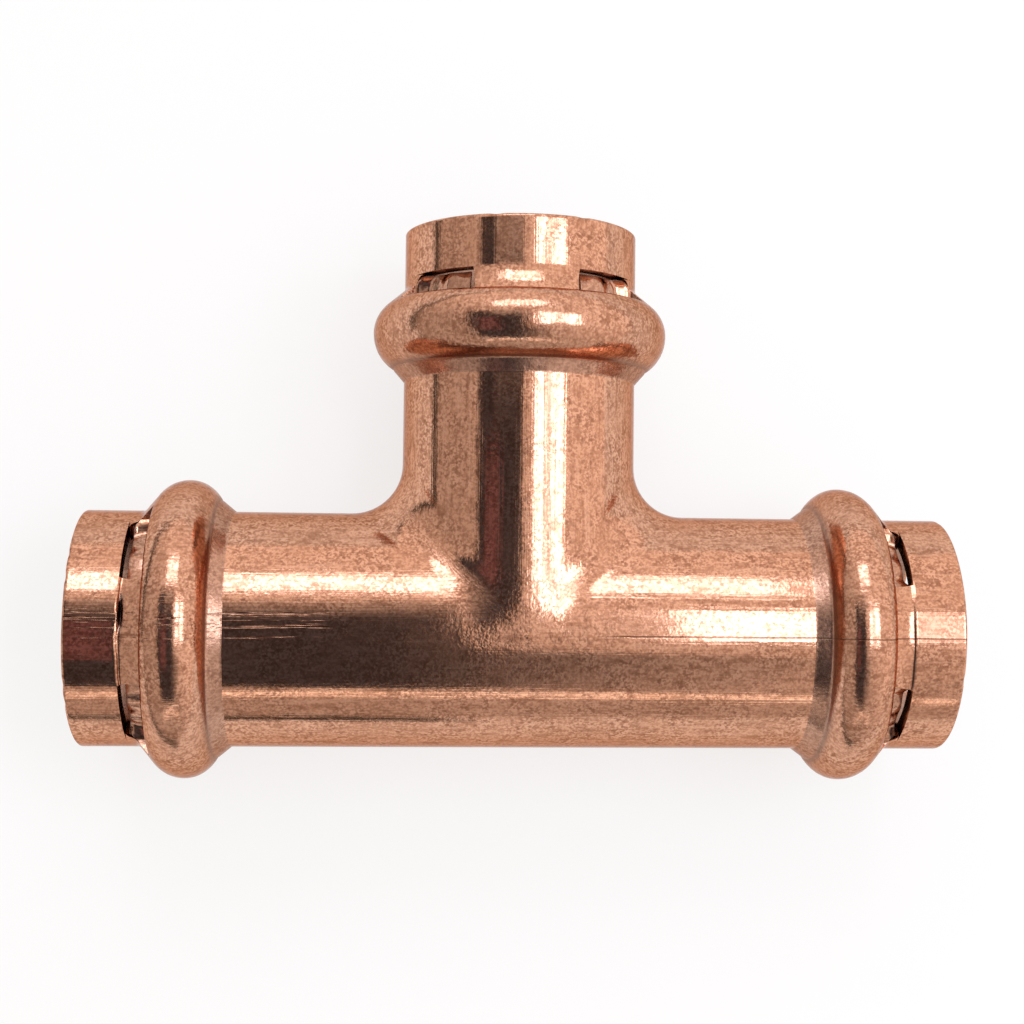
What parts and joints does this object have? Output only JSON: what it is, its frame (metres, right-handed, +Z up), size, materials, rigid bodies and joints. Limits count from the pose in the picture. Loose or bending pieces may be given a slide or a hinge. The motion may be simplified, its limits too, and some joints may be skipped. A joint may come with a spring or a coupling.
{
  "type": "press tee",
  "caption": "Copper pipe tee with press-fit sockets, each with a rounded bead that holds a rubber sealing ring, and a smooth blend where the branch leaves the run.",
  "frame": {"origin": "where the run's axis and the branch's axis cross", "axes": "+X along the run, +Y along the branch towards its mouth, +Z up as the tee lies flat"},
  "size_m": [0.0684, 0.0438, 0.0236],
  "materials": {
    "copper": "drawn copper, lightly tarnished",
    "seal_rubber": "matte"
  },
  "bodies": {
    "root": {"tee_body": "copper", "run_left_seal": "seal_rubber", "run_right_seal": "seal_rubber", "branch_seal": "seal_rubber"}
  },
  "joints": []
}
